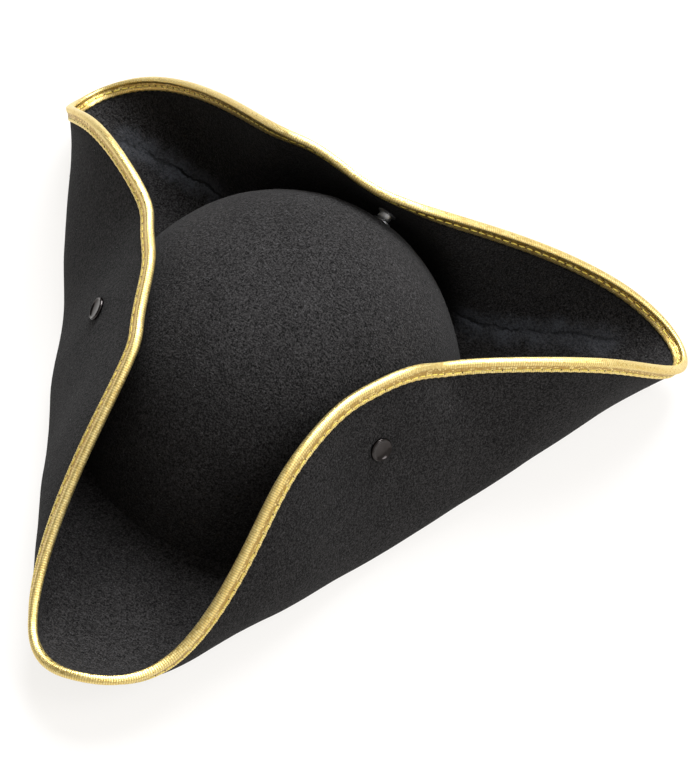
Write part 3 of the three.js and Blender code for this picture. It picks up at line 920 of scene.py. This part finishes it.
class TRICORN_OT_stitches(bpy.types.Operator):
    """Sew the tape down with a row of stitches on each side"""
    bl_idname = "tricorn.stitches"
    bl_label = "Stitches"

    def execute(self, context):
        settings = context.scene.tricorn.stitches
        strip = rim_strip(STITCH_LINE_POINTS, STRIP_DEPTH, STRIP_STEPS)
        count = round(strip[3] * MM / settings.pitch)
        group = stitch_group()
        thread, hole_shade = thread_material(), hole_shade_material()
        long, thick = settings.length, settings.radius
        rows = [
            # name, inset, aside, half a stitch later, length, radius, spread, material
            ("inner_stitches", INNER_STITCHES, 1.68, False, long, thick * 1.15, 0.08, thread),
            ("outer_stitches", OUTER_STITCHES, -1.6, False, long, thick * 0.85, 0.08, thread),
            # The hole rows are dark beads painted as shade where the thread goes through the tape.
            ("inner_stitch_hole_shades", INNER_STITCHES, 1.5, True, thick * 2.2, thick * 1.4, 0.5, hole_shade),
            ("outer_stitch_hole_shades", OUTER_STITCHES, -1.5, True, thick * 2.0, thick * 1.3, 0.6, hole_shade),
        ]
        for name, inset, aside, later, length, radius, spread, material in rows:
            source = self.line(strip, inset, aside, later, count)
            values = {"Count": count, "Length": length, "Radius": radius, "Spread": spread,
                      "Material": material}
            obj = grow(name, source, group, values)
            smooth(obj)
            declare(obj, "tape")
        return {"FINISHED"}

    @staticmethod
    def line(strip, inset, aside, later, count):
        """Closed line on the tape, begun half a stitch later where that is asked."""
        columns = strip[0].shape[1]
        points, side = on_strip(strip, np.full(columns, inset), np.full(columns, aside))
        if later:
            steps = columns / count / 2
            at = (np.arange(columns) + steps) % columns
            i, part = np.floor(at).astype(int), (at % 1)[:, None]
            k = (i + 1) % columns
            points = points[i] * (1 - part) + points[k] * part
            side = unit(side[i] * (1 - part) + side[k] * part)
        mesh = bpy.data.meshes.new("stitch_line")
        edges = [(j, (j + 1) % columns) for j in range(columns)]
        mesh.from_pydata(to_frame(points).tolist(), edges, [])
        layer = mesh.attributes.new("side", "FLOAT_VECTOR", "POINT")
        layer.data.foreach_set("vector", (side * np.sign(aside)).astype(np.float32).ravel())
        return mesh


class TRICORN_OT_fibres(bpy.types.Operator):
    """Scatter loose fibres over the felt"""
    bl_idname = "tricorn.fibres"
    bl_label = "Loose fibres"

    def execute(self, context):
        settings = context.scene.tricorn.fibres
        felt = bpy.data.objects.get("felt_shell")
        if felt is None:
            raise RuntimeError("Build the felt body before its fibres")
        values = {"Density": settings.density, "Length": settings.length, "Radius": 0.02,
                  "Seed": settings.seed, "Lowest": 3 * FELT * MM, "Material": fibre_material()}
        obj = grow("felt_fibres", felt.data, fibre_group(), values)
        declare(obj, "felt")
        return {"FINISHED"}


class TRICORN_OT_fasteners(bpy.types.Operator):
    """Build the three press fasteners"""
    bl_idname = "tricorn.fasteners"
    bl_label = "Press fasteners"

    def execute(self, context):
        settings = context.scene.tricorn.fasteners
        dark = metal_material("black_nickel", (0.022, 0.019, 0.018), (0.06, 0.054, 0.052), 0.12)
        bright = metal_material("bright_nickel", (0.62, 0.63, 0.64), (0.78, 0.79, 0.8), 0.3)
        for side, site in SITES.items():
            span = site[2]
            for part, profile, material, slot in (
                    ("cap", self.cap(settings.cap_radius / MM), dark, "cap"),
                    ("socket", self.socket(span), bright, "plated"),
                    ("stud", self.stud(span), bright, "plated")):
                obj = self.lathe(f"{side}_{part}_turned", profile, site, settings.facets, material)
                declare(obj, slot, f"{side}_{part}")
        return {"FINISHED"}

    # Profiles: distance from the axis, and along it, outward from the middle of the flap's felt.

    @staticmethod
    def cap(radius):
        foot = FELT / 2 + CAP_SNUG
        end = -FELT / 2 - SEAT - POST_DEPTH
        return [
            (0, end), (POST_RADIUS - 0.4, end), (POST_RADIUS, end + 0.3), (POST_RADIUS, foot),
            (radius - 0.7, foot), (radius - 0.25, foot + 0.12), (radius, foot + 0.55),
            (radius - 0.02, foot + 0.95), (radius - 0.25, foot + 1.45), (radius - 0.65, foot + 1.75),
            (radius - 1.05, foot + 1.7), (radius - 1.35, foot + 1.45), (radius - 1.7, foot + 1.2),
            (radius - 2.4, foot + 1.02), (2.2, foot + 0.88), (1.0, foot + 0.8), (0, foot + 0.78),
        ]

    @staticmethod
    def socket(span):
        bore, barrel, edge = POST_RADIUS + GAP, BARREL_RADIUS, SOCKET_RADIUS
        end = STUD_FLANGE + SEAT + FELT / 2 + GAP - span
        top = -FELT / 2 - SNUG
        return [
            (bore, end + 0.2), (bore + 0.2, end), (barrel - 0.2, end), (barrel, end + 0.25),
            (barrel, top - 1.0), (barrel + 0.3, top - 0.95), (edge - 0.7, top - 1.15),
            (edge - 0.2, top - 0.95), (edge, top - 0.5), (edge - 0.2, top - 0.1), (edge - 0.5, top),
            (bore, top), (bore, end + 0.2),
        ]

    @staticmethod
    def stud(span):
        seat = FELT / 2 + SNUG - span
        inside = -span - FELT / 2 - SNUG
        top = seat + STUD_RISE
        edge, nose = STUD_RADIUS, POST_RADIUS
        return [
            (0, inside - WASHER), (WASHER_RADIUS - 0.4, inside - WASHER),
            (WASHER_RADIUS, inside - 0.5), (WASHER_RADIUS, inside), (SHANK_RADIUS, inside),
            (SHANK_RADIUS, seat), (edge - 0.3, seat), (edge, seat + 0.3), (edge - 0.05, seat + 0.8),
            (edge - 0.5, seat + 1.15), (edge - 1.2, seat + 1.0), (edge - 1.6, top), (nose - 0.1, top),
            (nose + 0.05, top + 0.5), (nose - 0.2, top + 0.85), (nose - 0.8, top + 1.0), (0, top + 1.0),
        ]

    @staticmethod
    def lathe(name, profile, site, facets, material):
        """A profile turned round the fastener's axis; one that ends where it begins is a ring."""
        flap, axis, _ = site
        turn = Vector((0, 0, 1)).rotation_difference(Vector(axis)).to_matrix()
        angle = 2 * np.pi * np.arange(facets) / facets
        verts, starts, count = [], [], 0
        ring_profile = profile[0] == profile[-1]
        for r, s in profile[:-1] if ring_profile else profile:
            if r == 0:
                starts.append(-count - 1)
                verts.append([[0, 0, s]])
                count += 1
            else:
                starts.append(count)
                verts.append(np.stack([r * np.cos(-angle), r * np.sin(-angle), np.full(facets, s)], 1))
                count += facets
        local = np.concatenate(verts) @ np.array(turn).T
        faces = ring_faces(starts, facets, looped=ring_profile)
        obj = new_object(name, to_frame(local + flap), faces, material)
        smooth(obj, 40)
        return obj


class TRICORN_OT_stage(bpy.types.Operator):
    """Set the floor, the lights and the photograph's camera"""
    bl_idname = "tricorn.stage"
    bl_label = "Studio stage"

    def execute(self, context):
        scene = context.scene
        material, tree, shader = new_material(
            "light_table", Roughness=0.9, Specular_IOR_Level=0.1, Emission_Strength=0.85)
        shader.inputs["Base Color"].default_value = (0.15, 0.15, 0.15, 1)
        shader.inputs["Emission Color"].default_value = (1, 0.98, 0.95, 1)
        reach = 6.0
        corners = [(-reach, -reach, 0), (reach, -reach, 0), (reach, reach, 0), (-reach, reach, 0)]
        floor = new_object("floor", corners, [(0, 1, 2, 3)], material)
        world = bpy.data.worlds.new("studio_air")
        world.use_nodes = True
        air = world.node_tree
        sky = air.nodes["Background"]
        sky.inputs["Color"].default_value = (1, 0.97, 0.94, 1)
        way = make(air, "ShaderNodeTexCoord", output="Generated")
        toward_right = make(air, "ShaderNodeSeparateXYZ", {"Vector": way})
        left, right = 0.16, 0.58
        strength = toward_right.between(-0.9, 0.3) * (right - left) + left
        plug(air, sky.inputs["Strength"], strength)
        scene.world = world
        scene.view_settings.view_transform = "Standard"
        lights = [
            # name, place, size, watts
            ("back_box", (-0.25, 1.05, 1.6), 1.2, 76),
            ("right_box", (1.2, 0.1, 1.5), 0.9, 15),
        ]
        for name, place, width, watts in lights:
            data = bpy.data.lights.new(name, "AREA")
            data.shape, data.size, data.energy = "SQUARE", width, watts
            data.color = (0.95, 0.97, 1.0)
            lamp = add_object(name, data)
            lamp.location = place
            way = Vector((0, 0, 0.04)) - Vector(place)
            lamp.rotation_euler = way.to_track_quat("-Z", "Y").to_euler()
        scene.camera = self.camera()
        return {"FINISHED"}

    @staticmethod
    def camera():
        azimuth, elevation, roll = (
            math.radians(CAMERA[key]) for key in ("azimuth", "elevation", "roll"))
        level = math.cos(elevation)
        back = Vector((math.sin(azimuth) * level, -math.cos(azimuth) * level, math.sin(elevation)))
        right = Vector((math.cos(azimuth), math.sin(azimuth), 0))
        up = back.cross(right)
        across = right * math.cos(roll) + up * math.sin(roll)
        upward = up * math.cos(roll) - right * math.sin(roll)
        place = across * CAMERA["right"] + upward * CAMERA["up"] + back * CAMERA["distance"]
        data = bpy.data.cameras.new("photo_camera")
        data.sensor_fit, data.sensor_width, data.lens = "HORIZONTAL", 36.0, CAMERA["lens"]
        data.clip_end = 50
        camera = add_object("photo_camera", data)
        turn = Matrix((across, upward, back)).transposed().to_4x4()
        camera.matrix_world = Matrix.Translation((place + Vector(OFFSET)) * MM) @ turn
        return camera


class TRICORN_PT_panel(bpy.types.Panel):
    bl_idname = "TRICORN_PT_panel"
    bl_label = "Felt Tricorn Hat"
    bl_space_type = "VIEW_3D"
    bl_region_type = "UI"
    bl_category = "Tricorn"

    def draw(self, context):
        settings = context.scene.tricorn
        for operator, group in STEPS:
            box = self.layout.box()
            if group:
                values = getattr(settings, group)
                for key in values.__annotations__:
                    box.prop(values, key)
            box.operator(operator)


STEPS = [
    ("tricorn.felt", "felt"), ("tricorn.fibres", "fibres"), ("tricorn.tape", "tape"),
    ("tricorn.stitches", "stitches"), ("tricorn.fasteners", "fasteners"), ("tricorn.stage", None),
]
CLASSES = [
    FeltSettings, TapeSettings, StitchSettings, FibreSettings, FastenerSettings, TricornSettings,
    TRICORN_OT_felt, TRICORN_OT_tape, TRICORN_OT_stitches, TRICORN_OT_fibres, TRICORN_OT_fasteners,
    TRICORN_OT_stage, TRICORN_PT_panel,
]


def register():
    for cls in CLASSES:
        bpy.utils.register_class(cls)
    bpy.types.Scene.tricorn = PointerProperty(type=TricornSettings)


def unregister():
    del bpy.types.Scene.tricorn
    for cls in reversed(CLASSES):
        bpy.utils.unregister_class(cls)


def main():
    register()
    for operator, _ in STEPS:
        family, step = operator.split(".")
        getattr(getattr(bpy.ops, family), step)()


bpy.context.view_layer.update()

if __name__ == "__main__":
    main()
